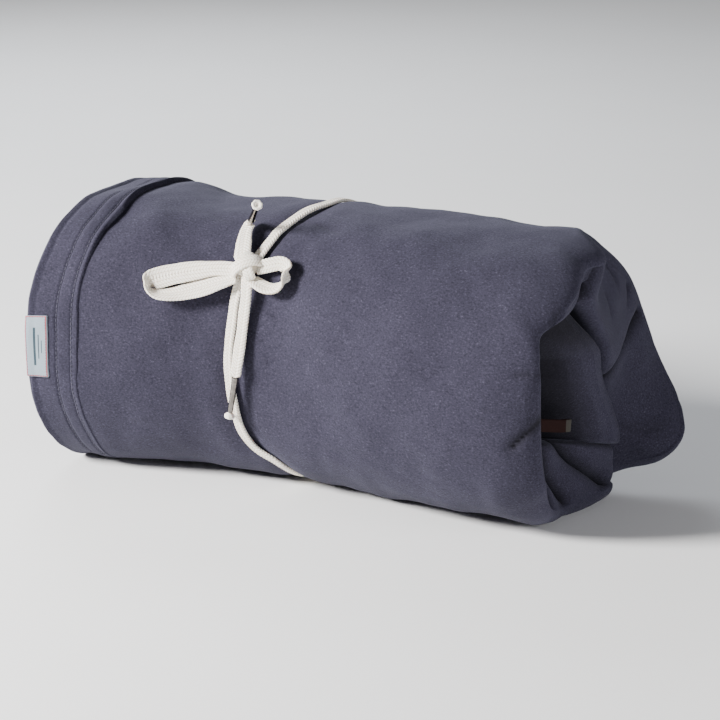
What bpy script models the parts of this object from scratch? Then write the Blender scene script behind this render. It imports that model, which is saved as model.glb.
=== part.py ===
"""A fleece throw blanket, folded into a strip, rolled up and tied once round with a flat cotton drawcord.

Metres, +Z up. X runs along the roll, -Y is its front and z = 0 is the flat it rests on. An angle round the roll
is 0 at the top and grows towards the front, in degrees. The blanket is one cloth: each lap of the roll is a
solid of its own, and the drawcord is split at its bow, so that loops and tails can lift.
"""

import math

import bmesh
import bpy
from mathutils import Matrix, Vector

GAP = 0.0004

# The roll's outline along X: how far its front and rear lie from the axis, and its height.
OUTLINE = [
    (-0.235, 0.138, 0.108, 0.2170),
    (-0.185, 0.127, 0.103, 0.2220),
    (-0.130, 0.110, 0.099, 0.2160),
    (-0.085, 0.095, 0.096, 0.2180),
    (-0.035, 0.090, 0.098, 0.2210),
    (0.030, 0.099, 0.104, 0.2245),
    (0.100, 0.107, 0.112, 0.2230),
    (0.170, 0.107, 0.120, 0.2210),
    (0.220, 0.104, 0.126, 0.2190),
]
SECTION_POWER = 2.3  # 2 is an ellipse, and more is squarer
FLATTENING = 0.003  # how far the underside would reach below the floor if it didn't lie flat
TIE_X = -0.031  # the underside's waist, where the drawcord runs
WAIST_LIFT = 0.0060
WAIST_SPREAD = 0.026

LEFT_END = -0.235
RIGHT_END = 0.212
LAP = 0.024  # one lap of the folded strip
LAP_GAP = 0.0028
SECOND_LAP_DEPTH = 0.046  # of the second lap's inner face, under the roll's outer face
INNER_STATIONS = (-0.155, -0.120, -0.080, -0.045, -0.010, 0.030, 0.090, 0.150)
AROUND = 36  # flats round each lap
OUTSIDE_STATIONS = (-0.160, -0.130, -0.100, -0.075, -0.060, -0.045, -0.031, -0.017, 0, 0.03, 0.08, 0.13, 0.165)
HEM_WIDTH = 0.044
HEM_LIP = 0.004
MOUTH_START = 0.150  # from here on, the outer lap's right end follows MOUTH

# Where the outer lap's folded right end stands: the angle round the roll, and X.
MOUTH = [
    (-150, 0.2000),
    (-140, 0.2225),
    (-127, 0.2350),
    (-114, 0.2290),
    (-100, 0.2135),
    (-75, 0.1965),
    (-48, 0.1830),
    (-30, 0.1745),
    (-17, 0.1845),
    (-8, 0.2000),
    (0, 0.2140),
    (20, 0.2180),
    (45, 0.2220),
    (70, 0.2140),
    (110, 0.2100),
    (140, 0.2080),
    (160, 0.2000),
    (180, 0.2000),
]
REAR_ANGLE = -105.0
REAR_FLARE = 0.018  # how far the rear fold splays out, towards REAR_ANGLE

LABEL_X = (-0.2345, -0.2155)
LABEL_ANGLES = (75.0, 101.0)
LABEL_THICKNESS = 0.0009
THREAD = 0.0005
STITCH_ROWS = {"hem_stitching_seam": -0.1865, "hem_stitching_edge": -0.2080}
STITCH_ANGLE = 142.0  # each row ends this far down both sides, over the underside
CLOSING_HEM_X = (-0.185, -0.150, -0.115, -0.085, -0.060, -0.035, -0.010, 0.030, 0.080, 0.130, 0.150)
CLOSING_HEM_ANGLE = -121.0
CLOSING_HEM_HALF = 4.2  # degrees
CLOSING_HEM_THICKNESS = 0.0024
CARE_TAB_X = (0.1860, 0.2085)
CARE_TAB_Y = -0.0735
CARE_TAB_Z = (0.076, 0.096)
CARE_TAB_THICKNESS = 0.0014

CORD_RADIUS = 0.0020
CORD_STEP = 0.0095
SPAN_STEPS = 12  # fine steps between two points of a route, before it is cut at CORD_STEP
KNOT = (-0.057, 51.0, 0.0082)  # x, angle and height over the cloth of the knot's centre
KNOT_RADII = (0.0080, 0.0110, 0.0070)
AGLET_LENGTH = 0.032
AGLET_RADII = (0.0025, 0.0020)
AGLET_BORE = 0.0014
AGLET_CLEARANCE = 0.0012

# Hinges at the knot: x, angle and height over the cloth.
HINGES = {
    "bow_loop_left": (-0.0675, 54.0, 0.0070),
    "bow_loop_right": (-0.0465, 54.0, 0.0070),
    "tail_upper": (-0.0655, 44.5, 0.0070),
    "tail_lower": (-0.0535, 57.5, 0.0085),
}

# Routes of the drawcord: x, angle and height of its centre over the cloth, chosen by hand.
WRAP = [
    (-0.0545, 43.5, 0.0034),
    (-0.0508, 36.0, 0.0028),
    (-0.0480, 29.5, 0.0028),
    (-0.0405, 14.0, 0.0028),
    (-0.0345, 2.0, 0.0028),
    (-0.0315, -15.0, 0.0028),
    (-0.0310, -40.0, 0.0028),
    (-0.0340, -65.0, 0.0028),
    (-0.0360, -90.0, 0.0028),
    (-0.0350, -107.0, 0.0030),
    (-0.0340, -118.0, 0.0054),
    (-0.0330, -124.0, 0.0054),
    (-0.0320, -136.0, 0.0030),
    (-0.0310, -146.0, 0.0030),
    (-0.0300, -155.0, 0.0030),
    (-0.0280, -180.0, 0.0028),
    (-0.0280, -205.0, 0.0028),
    (-0.0295, -213.0, 0.0030),
    (-0.0330, -222.0, 0.0030),
    (-0.0425, -226.5, 0.0028),
    (-0.0530, -231.5, 0.0028),
    (-0.0595, -237.5, 0.0028),
    (-0.0635, -245.0, 0.0028),
    (-0.0665, -258.5, 0.0028),
    (-0.0680, -270.5, 0.0028),
    (-0.0675, -279.0, 0.0028),
    (-0.0662, -289.0, 0.0028),
    (-0.0660, -296.5, 0.0030),
    (-0.0650, -301.5, 0.0036),
]
LOOP_LEFT = [
    (-0.0685, 51.0, 0.0085),
    (-0.0800, 51.0, 0.0080),
    (-0.0960, 51.5, 0.0070),
    (-0.1130, 52.5, 0.0062),
    (-0.1280, 54.0, 0.0058),
    (-0.1385, 58.0, 0.0056),
    (-0.1355, 62.5, 0.0056),
    (-0.1200, 64.5, 0.0058),
    (-0.1040, 62.5, 0.0064),
    (-0.0860, 59.5, 0.0075),
    (-0.0685, 56.5, 0.0085),
]
LOOP_RIGHT = [
    (-0.0455, 51.5, 0.0085),
    (-0.0370, 49.0, 0.0080),
    (-0.0290, 48.0, 0.0072),
    (-0.0225, 50.5, 0.0068),
    (-0.0225, 55.0, 0.0066),
    (-0.0290, 59.0, 0.0068),
    (-0.0380, 59.0, 0.0076),
    (-0.0455, 57.0, 0.0085),
]
TAIL_UPPER = [
    (-0.0655, 44.0, 0.0085),
    (-0.0685, 41.0, 0.0090),
    (-0.0710, 37.0, 0.0085),
    (-0.0722, 33.5, 0.0075),
    (-0.0725, 30.5, 0.0075),
]
TAIL_LOWER = [
    (-0.0535, 58.5, 0.0095),
    (-0.0530, 63.0, 0.0080),
    (-0.0540, 69.0, 0.0060),
    (-0.0550, 76.0, 0.0050),
    (-0.0560, 83.0, 0.0062),
    (-0.0578, 92.5, 0.0085),
]
AGLET_UPPER_DIRECTION = (0.55, -0.62, 0.56)
TAIL_UPPER_RISE = 0.006  # how far the upper tail runs on towards its aglet
AGLET_LOWER_END = (-0.0660, 110.0, 0.0088)


def hermite(x, column):
    """The outline's value at x on one smooth curve through its stations."""
    x = min(max(x, OUTLINE[0][0]), OUTLINE[-1][0])
    last = len(OUTLINE) - 2
    i = min(sum(x > station[0] for station in OUTLINE[1:]), last)

    def slope(j):
        low, high = OUTLINE[max(j - 1, 0)], OUTLINE[min(j + 1, last + 1)]
        return (high[column] - low[column]) / (high[0] - low[0])

    step = OUTLINE[i + 1][0] - OUTLINE[i][0]
    t = (x - OUTLINE[i][0]) / step
    return (
        (2 * t**3 - 3 * t**2 + 1) * OUTLINE[i][column]
        + (t**3 - 2 * t**2 + t) * step * slope(i)
        + (3 * t**2 - 2 * t**3) * OUTLINE[i + 1][column]
        + (t**3 - t**2) * step * slope(i + 1)
    )


def roll_point(x, angle, over=0.0):
    """The point over the cloth's outer face, or under it where over is negative."""
    turn = math.radians(angle)
    front, rear, height = (hermite(x, column) for column in (1, 2, 3))
    towards_y, towards_z = -math.sin(turn), math.cos(turn)
    reach = (abs(towards_y) ** SECTION_POWER + abs(towards_z) ** SECTION_POWER) ** (-1 / SECTION_POWER)
    y = (rear - front) / 2 + towards_y * reach * ((rear + front) / 2 + over)
    z = height / 2 + towards_z * reach * (height / 2 + FLATTENING + over)
    lift = WAIST_LIFT * math.exp(-(((x - TIE_X) / WAIST_SPREAD) ** 4))
    return Vector((x, y, max(z, lift - over)))


def outward(x, angle):
    return (roll_point(x, angle, 0.01) - roll_point(x, angle)).normalized()


def downward(x, angle):
    """Along the cloth, towards the front and down."""
    return (roll_point(x, angle + 1) - roll_point(x, angle - 1)).normalized()


def material(name, colour, roughness, metallic=0.0):
    made = bpy.data.materials.new(name)
    made.use_nodes = True
    shader = made.node_tree.nodes["Principled BSDF"]
    shader.inputs["Base Color"].default_value = (*colour, 1.0)
    shader.inputs["Roughness"].default_value = roughness
    shader.inputs["Metallic"].default_value = metallic
    return made


def solid(name, points, faces, look, origin=(0, 0, 0)):
    """One closed mesh object, with its faces pointing out and its origin where asked."""
    shape = bmesh.new()
    corners = [shape.verts.new(Vector(point) - Vector(origin)) for point in points]
    for face in faces:
        shape.faces.new([corners[i] for i in face])
    bmesh.ops.recalc_face_normals(shape, faces=shape.faces)
    mesh = bpy.data.meshes.new(name)
    shape.to_mesh(mesh)
    shape.free()
    mesh.materials.append(look)
    mesh.shade_smooth()
    mesh.set_sharp_from_angle(angle=math.radians(40))
    made = bpy.data.objects.new(name, mesh)
    made.location = origin
    bpy.context.collection.objects.link(made)
    return made


def loft(name, rows, look, joined, origin=(0, 0, 0)):
    """A solid through closed rows of points: joined end to end as a ring, or capped at both ends."""
    count, around = len(rows), len(rows[0])
    points = [point for row in rows for point in row]
    faces = []
    for i in range(count if joined else count - 1):
        for j in range(around):
            k = (j + 1) % around
            low, high = i * around, (i + 1) % count * around
            faces.append((low + j, low + k, high + k, high + j))
    if not joined:
        faces.append(tuple(range(around)))
        faces.append(tuple((count - 1) * around + j for j in range(around)))
    return solid(name, points, faces, look, origin)


def steps(start, end, count):
    return [start + (end - start) * i / (count - 1) for i in range(count)]


def between(a, b, c, d, t):
    """The Catmull-Rom curve from b to c, with a before them and d after them."""
    bend = 2 * a - 5 * b + 4 * c - d
    twist = 3 * b - a - 3 * c + d
    return 0.5 * (2 * b + (c - a) * t + bend * t**2 + twist * t**3)


def mouth_x(angle):
    """How far the outer lap's right end reaches at this angle."""
    turn = (angle - MOUTH[0][0]) % 360
    count = len(MOUTH)
    starts = [(station[0] - MOUTH[0][0]) % 360 for station in MOUTH] + [360]
    i = sum(turn >= start for start in starts[1:])
    t = (turn - starts[i]) / (starts[i + 1] - starts[i])
    return between(*(MOUTH[(i + k) % count][1] for k in (-1, 0, 1, 2)), t)


def lap_ring(name, profile, look, open_mouth=False):
    """A lap of cloth right round the roll, whose wall has the profile's (x, depth) points."""
    rows = []
    for i in range(AROUND):
        angle = 360 * i / AROUND
        reach = mouth_x(angle) - RIGHT_END if open_mouth else 0.0
        flare = REAR_FLARE * max(0.0, math.cos(math.radians(angle - REAR_ANGLE))) ** 2 if open_mouth else 0.0
        row = []
        for x, depth in profile:
            along = min(max((x - MOUTH_START) / (RIGHT_END - MOUTH_START), 0.0), 1.0)
            point = roll_point(x, angle, -depth)
            point.x += reach * along
            point.y += flare * along**2
            row.append(point)
        rows.append(row)
    return loft(name, rows, look, joined=True)


def outer_lap(look):
    seam = LEFT_END + HEM_WIDTH
    outside = [(x, 0.0) for x in (seam, *OUTSIDE_STATIONS)]
    middle, radius = RIGHT_END - LAP / 2, LAP / 2
    nose = []
    for turn in (80, 50, 15, -15, -50, -80):
        across = math.radians(turn)
        nose.append((middle + radius * math.cos(across), radius - radius * math.sin(across)))
    inside = [(x, LAP) for x in (0.190, *reversed(INNER_STATIONS), seam)]
    return lap_ring("outer_lap", outside + nose + inside, look, open_mouth=True)


def hem_band(look):
    seam = LEFT_END + HEM_WIDTH - GAP
    middle = LEFT_END + HEM_WIDTH / 2
    profile = [(seam, 0.0), (middle, 0.0), (LEFT_END + HEM_LIP, 0.0), (LEFT_END, HEM_LIP)]
    profile += [(LEFT_END, LAP - HEM_LIP), (LEFT_END + HEM_LIP, LAP), (middle, LAP), (seam, LAP)]
    return lap_ring("hem_band", profile, look)


def second_lap(look):
    xs = (LEFT_END + 0.007, LEFT_END + HEM_WIDTH, *INNER_STATIONS)
    profile = [(x, LAP + LAP_GAP) for x in xs] + [(x, SECOND_LAP_DEPTH) for x in reversed(xs)]
    return lap_ring("second_lap", profile, look)


def core_roll(look):
    depth = SECOND_LAP_DEPTH + LAP_GAP
    ends = [(LEFT_END + 0.013, depth + 0.012), (LEFT_END + 0.018, depth + 0.002)]
    ends += [(x, depth) for x in (LEFT_END + HEM_WIDTH, *INNER_STATIONS)]
    rows = [[roll_point(x, 360 * i / AROUND, -under) for i in range(AROUND)] for x, under in ends]
    return loft("core_roll", rows, look, joined=False)


def smooth_loop(outline, per_span=2):
    """Points on the smooth closed curve through the outline's (y, z) points."""
    found = []
    count = len(outline)
    for i in range(count):
        corners = [Vector(outline[(i + k) % count]) for k in (-1, 0, 1, 2)]
        found += [between(*corners, step / per_span) for step in range(per_span)]
    return found


def fold_nose(name, outline, tip, look):
    """The rounded end of a fold, filling the outer lap's mouth: its outline in y and z drawn out along X."""
    start = MOUTH_START + GAP
    loop = smooth_loop(outline)
    middle = sum(loop, Vector((0, 0))) / len(loop)
    reach = tip - start
    rows = []
    for share, size in ((0.0, 1.0), (0.55, 1.0), (0.80, 0.94), (0.94, 0.78), (1.0, 0.50)):
        flat = [middle + (point - middle) * size for point in loop]
        rows.append([Vector((start + reach * share, point.x, point.y)) for point in flat])
    return loft(name, rows, look, joined=False)


def fold_noses(look):
    front = [(-0.066, 0.105), (-0.066, 0.140), (-0.050, 0.164), (-0.020, 0.172), (0.000, 0.160), (0.012, 0.128)]
    front += [(0.020, 0.090), (0.026, 0.055), (0.006, 0.036), (-0.030, 0.036), (-0.054, 0.048), (-0.064, 0.075)]
    top = [(0.010, 0.183), (0.040, 0.186), (0.070, 0.170), (0.061, 0.140), (0.046, 0.112), (0.034, 0.108)]
    top += [(0.024, 0.135), (0.012, 0.162)]
    rear = [(0.076, 0.152), (0.086, 0.120), (0.085, 0.082), (0.070, 0.052), (0.046, 0.038), (0.038, 0.055)]
    rear += [(0.042, 0.085), (0.055, 0.110), (0.068, 0.135)]
    fold_nose("front_fold", front, 0.213, look)
    fold_nose("top_fold", top, 0.204, look)
    fold_nose("rear_fold", rear, 0.228, look)


def patch(name, xs, angles, low, high, look):
    """A thin piece lying over the cloth, from low to high above it."""
    rows = []
    for x in xs:
        row = [roll_point(x, angle, high) for angle in angles]
        row += [roll_point(x, angle, low) for angle in reversed(angles)]
        rows.append(row)
    return loft(name, rows, look, joined=False)


def closing_hem(look):
    """The stitched edge where the blanket's outer end closes the roll, along its rear."""
    angles = [CLOSING_HEM_ANGLE + CLOSING_HEM_HALF * share for share in (-1, -0.5, 0, 0.5, 1)]
    return patch("closing_hem", CLOSING_HEM_X, angles, GAP, CLOSING_HEM_THICKNESS, look)


def woven_label(look):
    patch("woven_label", steps(*LABEL_X, 4), steps(*LABEL_ANGLES, 8), GAP, GAP + LABEL_THICKNESS, look)


def care_label(look):
    """A small folded tab, sewn in between the outer lap and the front fold."""
    front, rear = CARE_TAB_Y - CARE_TAB_THICKNESS / 2, CARE_TAB_Y + CARE_TAB_THICKNESS / 2
    bottom, top = CARE_TAB_Z
    corners = ((front, bottom), (rear, bottom), (rear, top), (front, top))
    rows = [[(x, y, z) for y, z in corners] for x in CARE_TAB_X]
    loft("care_label", rows, look, joined=False)


def through(points, step):
    """Points a step apart along the smooth open curve through these points."""
    fine = []
    last = len(points) - 1
    for i in range(last):
        corners = [points[min(max(i + k, 0), last)] for k in (-1, 0, 1, 2)]
        fine += [between(*corners, s / SPAN_STEPS) for s in range(SPAN_STEPS)]
    fine.append(points[-1])
    along = [0.0]
    for low, high in zip(fine, fine[1:]):
        along.append(along[-1] + (high - low).length)
    count = max(2, round(along[-1] / step) + 1)
    found, i = [], 0
    for wanted in steps(0.0, along[-1], count):
        while i < len(fine) - 2 and along[i + 1] < wanted:
            i += 1
        share = (wanted - along[i]) / (along[i + 1] - along[i])
        found.append(fine[i].lerp(fine[i + 1], share))
    return found


def tube(name, points, radius, look, origin=(0, 0, 0), sides=2):
    curve = bpy.data.curves.new(name, "CURVE")
    curve.dimensions = "3D"
    curve.bevel_depth = radius
    curve.bevel_resolution = sides
    curve.use_fill_caps = True
    spline = curve.splines.new("POLY")
    spline.points.add(len(points) - 1)
    for corner, point in zip(spline.points, points):
        corner.co = (*(point - Vector(origin)), 1.0)
    curve.materials.append(look)
    made = bpy.data.objects.new(name, curve)
    made.location = origin
    bpy.context.collection.objects.link(made)
    return made


def route(points):
    return [roll_point(*point) for point in points]


def thread_rows(look):
    """The two rows of stitching round the hem band: the seam row and the edge row."""
    angles = steps(-STITCH_ANGLE, STITCH_ANGLE, 44)
    for name, x in STITCH_ROWS.items():
        tube(name, [roll_point(x, angle, THREAD + GAP) for angle in angles], THREAD, look, sides=0)


def label_stitching(look):
    """A rectangle of thread just inside the woven label's edge."""
    margin, over = 0.0016, 2 * GAP + LABEL_THICKNESS
    xs = (LABEL_X[0] + margin, LABEL_X[1] - margin)
    angles = (LABEL_ANGLES[0] + 0.8, LABEL_ANGLES[1] - 0.8)
    side = [(xs[0], angle) for angle in steps(*angles, 8)]
    end = [(x, angles[1]) for x in steps(*xs, 4)][1:]
    back = [(xs[1], angle) for angle in steps(angles[1], angles[0], 8)][1:]
    start = [(x, angles[0]) for x in steps(xs[1], xs[0], 4)][1:-1]
    rows = []
    centre = (sum(xs) / 2, sum(angles) / 2)
    for x, angle in side + end + back + start:
        inner_x = x + math.copysign(2 * THREAD, centre[0] - x) * (x in xs)
        inner_angle = angle + math.copysign(0.5, centre[1] - angle) * (angle in angles)
        row = [roll_point(x, angle, over), roll_point(x, angle, over + THREAD)]
        row += [roll_point(inner_x, inner_angle, over + THREAD), roll_point(inner_x, inner_angle, over)]
        rows.append(row)
    loft("label_stitching", rows, look, joined=True)


def bow_knot(look):
    """The knot, as one rounded lump."""
    x, angle, _ = KNOT
    shape = bmesh.new()
    bmesh.ops.create_icosphere(shape, subdivisions=3, radius=1.0)
    across, down, out = Vector((1, 0, 0)), downward(x, angle), outward(x, angle)
    turn = Matrix((across * KNOT_RADII[0], down * KNOT_RADII[1], out * KNOT_RADII[2])).transposed()
    bmesh.ops.transform(shape, matrix=turn.to_4x4(), verts=shape.verts)
    bmesh.ops.recalc_face_normals(shape, faces=shape.faces)
    mesh = bpy.data.meshes.new("bow_knot")
    shape.to_mesh(mesh)
    shape.free()
    mesh.materials.append(look)
    mesh.shade_smooth()
    made = bpy.data.objects.new("bow_knot", mesh)
    made.location = roll_point(*KNOT)
    bpy.context.collection.objects.link(made)


def turned(name, profile, start, axis, look, origin, sides=16):
    """A turned piece: its profile's (distance along the axis, radius) points, as a closed ring of rows."""
    frame = axis.to_track_quat("Z", "Y").to_matrix()
    rows = []
    for i in range(sides):
        turn = 2 * math.pi * i / sides
        rows.append([start + frame @ Vector((r * math.cos(turn), r * math.sin(turn), s)) for s, r in profile])
    return loft(name, rows, look, joined=True, origin=origin)


def aglet_and_tip(place, start, axis, metal, cotton, origin):
    """A crimped metal sleeve over the tail's end, and the flared cotton end that shows past it."""
    length, (wide, narrow) = AGLET_LENGTH, AGLET_RADII
    sleeve = [(0.0, AGLET_BORE), (0.0, wide - 0.0004), (0.0008, wide), (length - 0.001, narrow + 0.0002)]
    sleeve += [(length, narrow), (length, AGLET_BORE)]
    turned(f"aglet_{place}", sleeve, start, axis, metal, origin)
    bore, hole = AGLET_BORE - GAP, 0.0004
    tip = [(length - 0.006, hole), (length - 0.006, bore), (length + GAP, bore), (length + GAP, 0.0022)]
    tip += [(length + 0.0030, 0.0040), (length + 0.0042, 0.0036), (length + 0.0036, 0.0016), (length + 0.0030, hole)]
    turned(f"cord_tip_{place}", tip, start, axis, cotton, origin)


def drawcord(cotton, metal):
    tube("drawcord_wrap", through(route(WRAP), CORD_STEP), CORD_RADIUS, cotton)
    bow_knot(cotton)
    for name, points in (("bow_loop_left", LOOP_LEFT), ("bow_loop_right", LOOP_RIGHT)):
        origin = roll_point(*HINGES[name])
        tube(name, through(route(points), CORD_STEP), CORD_RADIUS, cotton, origin)
    up_axis = Vector(AGLET_UPPER_DIRECTION).normalized()
    upper = route(TAIL_UPPER)
    upper = through([*upper, upper[-1] + up_axis * TAIL_UPPER_RISE], CORD_STEP / 2)
    lower = through(route(TAIL_LOWER), CORD_STEP)
    down_axis = (roll_point(*AGLET_LOWER_END) - lower[-1]).normalized()
    for place, line, axis in (("upper", upper, up_axis), ("lower", lower, down_axis)):
        name = f"tail_{place}"
        origin = roll_point(*HINGES[name])
        tube(name, line, CORD_RADIUS, cotton, origin)
        aglet_and_tip(place, line[-1] + axis * AGLET_CLEARANCE, axis, metal, cotton, origin)


def main():
    for thing in list(bpy.data.objects):
        bpy.data.objects.remove(thing, do_unlink=True)
    fleece = material("navy_fleece", (0.110, 0.104, 0.150), 0.95)
    thread = material("navy_thread", (0.060, 0.056, 0.085), 0.80)
    label = material("label_satin", (0.480, 0.560, 0.640), 0.55)
    tab = material("care_tab", (0.130, 0.085, 0.080), 0.70)
    cotton = material("natural_cotton", (0.820, 0.780, 0.700), 0.90)
    metal = material("polished_metal", (0.700, 0.690, 0.670), 0.18, 1.0)
    outer_lap(fleece)
    hem_band(fleece)
    second_lap(fleece)
    core_roll(fleece)
    fold_noses(fleece)
    closing_hem(fleece)
    thread_rows(thread)
    woven_label(label)
    label_stitching(thread)
    care_label(tab)
    drawcord(cotton, metal)


main()
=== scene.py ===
"""Looks of a fleece throw blanket: folded, rolled up and tied once round with a flat cotton drawcord.

Metres, +Z up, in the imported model's frame. X runs along the roll and -Y is its front. An angle round the roll
is 0 at the top and grows towards the front, in degrees. The rolled cloth is made from rows of points round the
roll, and each cord is a flat braided ribbon swept along its route.
"""

import math

import bpy
import numpy as np
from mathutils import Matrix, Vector


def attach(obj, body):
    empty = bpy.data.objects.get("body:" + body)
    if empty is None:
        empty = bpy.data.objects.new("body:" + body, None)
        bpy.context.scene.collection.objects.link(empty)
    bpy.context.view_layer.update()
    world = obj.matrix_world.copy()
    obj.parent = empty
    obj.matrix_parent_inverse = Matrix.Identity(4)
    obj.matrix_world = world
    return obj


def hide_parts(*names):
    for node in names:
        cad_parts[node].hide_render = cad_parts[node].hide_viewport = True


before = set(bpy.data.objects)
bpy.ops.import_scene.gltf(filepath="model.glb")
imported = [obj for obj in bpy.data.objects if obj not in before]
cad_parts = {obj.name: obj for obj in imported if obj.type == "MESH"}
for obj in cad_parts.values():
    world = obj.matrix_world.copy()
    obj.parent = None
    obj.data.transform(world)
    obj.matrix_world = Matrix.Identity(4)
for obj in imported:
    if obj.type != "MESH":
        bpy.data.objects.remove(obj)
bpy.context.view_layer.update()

# ---------------------------------------------------------------- camera

TARGET = Vector((-0.0013, 0.0, 0.1))
AZIMUTH, ELEVATION, DISTANCE = math.radians(30), math.radians(17), 2.4
LEVEL = math.cos(ELEVATION)
TOWARDS_CAMERA = Vector((math.sin(AZIMUTH) * LEVEL, -math.cos(AZIMUTH) * LEVEL, math.sin(ELEVATION)))


def make_camera():
    data = bpy.data.cameras.new("camera")
    data.lens = 148.0
    data.sensor_width = 36.0
    data.clip_end = 20.0
    camera = bpy.data.objects.new("camera", data)
    camera.location = TARGET + TOWARDS_CAMERA * DISTANCE
    camera.rotation_euler = (-TOWARDS_CAMERA).to_track_quat("-Z", "Y").to_euler()
    bpy.context.collection.objects.link(camera)
    bpy.context.scene.camera = camera


# ---------------------------------------------------------------- the roll's shape: OUTLINE is the CAD's

# X, how far the front and the rear lie from the axis, and the height.
OUTLINE = np.array([
    (-0.235, 0.138, 0.108, 0.217), (-0.185, 0.127, 0.103, 0.222), (-0.13, 0.11, 0.099, 0.216),
    (-0.085, 0.095, 0.096, 0.218), (-0.035, 0.09, 0.098, 0.221), (0.03, 0.099, 0.104, 0.2245),
    (0.1, 0.107, 0.112, 0.223), (0.17, 0.107, 0.12, 0.221), (0.22, 0.104, 0.126, 0.219),
])
SECTION_POWER = 2.3
FLATTENING = 0.003
# Under the cord the roll stands off the floor a little.
TIE_X, WAIST_LIFT, WAIST_SPREAD = -0.031, 0.006, 0.026
LEFT_END = -0.235
HEM_WIDTH = 0.044
SEAM_X = LEFT_END + HEM_WIDTH
LAP = 0.024
# From MOUTH_START on the right end stands out towards the rear, most at REAR_ANGLE.
REAR_ANGLE, REAR_FLARE = -105.0, 0.018
MOUTH_START = 0.15

# The rim of the outer lap's folded right end, in finer steps than the CAD's: angle, X, how far before the rim
# the fold begins, and how deep it goes in.
MOUTH = np.array([
    (-166, 0.205, 0.018, 0.015), (-160, 0.203, 0.016, 0.013), (-155, 0.193, 0.014, 0.012),
    (-150, 0.19, 0.013, 0.012), (-145, 0.203, 0.013, 0.012), (-140, 0.225, 0.013, 0.013),
    (-134, 0.2345, 0.014, 0.013), (-127, 0.237, 0.015, 0.014), (-121, 0.233, 0.015, 0.014),
    (-114, 0.2255, 0.015, 0.014), (-100, 0.2095, 0.014, 0.013), (-90, 0.2005, 0.013, 0.013),
    (-75, 0.193, 0.013, 0.013), (-60, 0.188, 0.013, 0.013), (-48, 0.183, 0.014, 0.013),
    (-38, 0.1775, 0.014, 0.013), (-30, 0.175, 0.014, 0.013), (-24, 0.177, 0.014, 0.013),
    (-17, 0.1845, 0.014, 0.013), (-10, 0.1965, 0.02, 0.013), (-3, 0.209, 0.026, 0.014),
    (4, 0.2105, 0.03, 0.015), (13, 0.2065, 0.03, 0.014), (20, 0.2095, 0.031, 0.014),
    (32, 0.214, 0.042, 0.014), (42, 0.213, 0.04, 0.012), (50, 0.208, 0.036, 0.01),
    (56, 0.202, 0.018, 0.009), (64, 0.2045, 0.034, 0.01), (75, 0.206, 0.044, 0.015),
    (90, 0.206, 0.046, 0.018), (108, 0.206, 0.046, 0.018), (125, 0.206, 0.04, 0.015),
    (134, 0.203, 0.034, 0.014), (143, 0.201, 0.022, 0.012), (152, 0.1985, 0.022, 0.014),
    (160, 0.196, 0.022, 0.015), (168, 0.1965, 0.022, 0.015), (176, 0.2, 0.022, 0.015),
    (186, 0.2035, 0.02, 0.015),
])


def smooth_between(a, b, c, d, t):
    """The Catmull-Rom curve from b to c."""
    return 0.5 * (2 * b + (c - a) * t + (2 * a - 5 * b + 4 * c - d) * t**2 + (3 * b - a - 3 * c + d) * t**3)


def outline(x):
    """Front, rear and height of the roll at each x."""
    xs, values = OUTLINE[:, 0], OUTLINE[:, 1:]
    x = np.clip(x, xs[0], xs[-1])
    here = np.arange(len(xs))
    low, high = np.maximum(here - 1, 0), np.minimum(here + 1, len(xs) - 1)
    slopes = (values[high] - values[low]) / (xs[high] - xs[low])[:, None]
    i = np.clip(np.searchsorted(xs, x) - 1, 0, len(xs) - 2)
    step = (xs[i + 1] - xs[i])[..., None]
    t = (x - xs[i])[..., None] / step
    found = (2 * t**3 - 3 * t**2 + 1) * values[i] + (t**3 - 2 * t**2 + t) * step * slopes[i]
    found += (3 * t**2 - 2 * t**3) * values[i + 1] + (t**3 - t**2) * step * slopes[i + 1]
    return np.moveaxis(found, -1, 0)


def roll(x, angle, over=0.0):
    """Points over the cloth's outer face, or under it where over is negative."""
    x, angle, over = np.broadcast_arrays(*(np.asarray(v, float) for v in (x, angle, over)))
    front, rear, height = outline(x)
    across, up = -np.sin(np.radians(angle)), np.cos(np.radians(angle))
    reach = (np.abs(across) ** SECTION_POWER + np.abs(up) ** SECTION_POWER) ** (-1 / SECTION_POWER)
    y = (rear - front) / 2 + across * reach * ((rear + front) / 2 + over)
    z = height / 2 + up * reach * (height / 2 + FLATTENING + over)
    lift = WAIST_LIFT * np.exp(-(((x - TIE_X) / WAIST_SPREAD) ** 4))
    return np.stack([x, y, np.maximum(z, lift - over)], axis=-1)


def outward(x, angle):
    return unit(roll(x, angle, 0.01) - roll(x, angle))


def mouth(angle, column):
    """A MOUTH value at each angle, smoothly interpolated round the roll."""
    starts = np.append(MOUTH[:, 0] - MOUTH[0, 0], 360.0)
    turn = (np.asarray(angle, float) - MOUTH[0, 0]) % 360
    count = len(MOUTH)
    i = np.clip(np.searchsorted(starts, turn, side="right") - 1, 0, count - 1)
    t = (turn - starts[i]) / (starts[i + 1] - starts[i])
    return smooth_between(*(MOUTH[(i + k) % count, column] for k in (-1, 0, 1, 2)), t)


def flare(angle):
    """How far the right end's rim stands out towards the rear."""
    return REAR_FLARE * np.maximum(0.0, np.cos(np.radians(angle - REAR_ANGLE))) ** 2


# ---------------------------------------------------------------- small helpers

FLOOR_GAP = 0.0002  # no piece goes lower than this


def unit(vectors):
    return vectors / np.linalg.norm(vectors, axis=-1, keepdims=True)


def distances(line):
    """How far along a line each of its points is."""
    return np.concatenate([[0.0], np.cumsum(np.linalg.norm(np.diff(line, axis=0), axis=1))])


def filled_out(wave, power):
    """A sine or cosine with fuller swings, as for a rounded rectangle."""
    return np.sign(wave) * np.abs(wave) ** power


def ring_of(count):
    return np.linspace(0, 2 * math.pi, count, endpoint=False)


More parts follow.
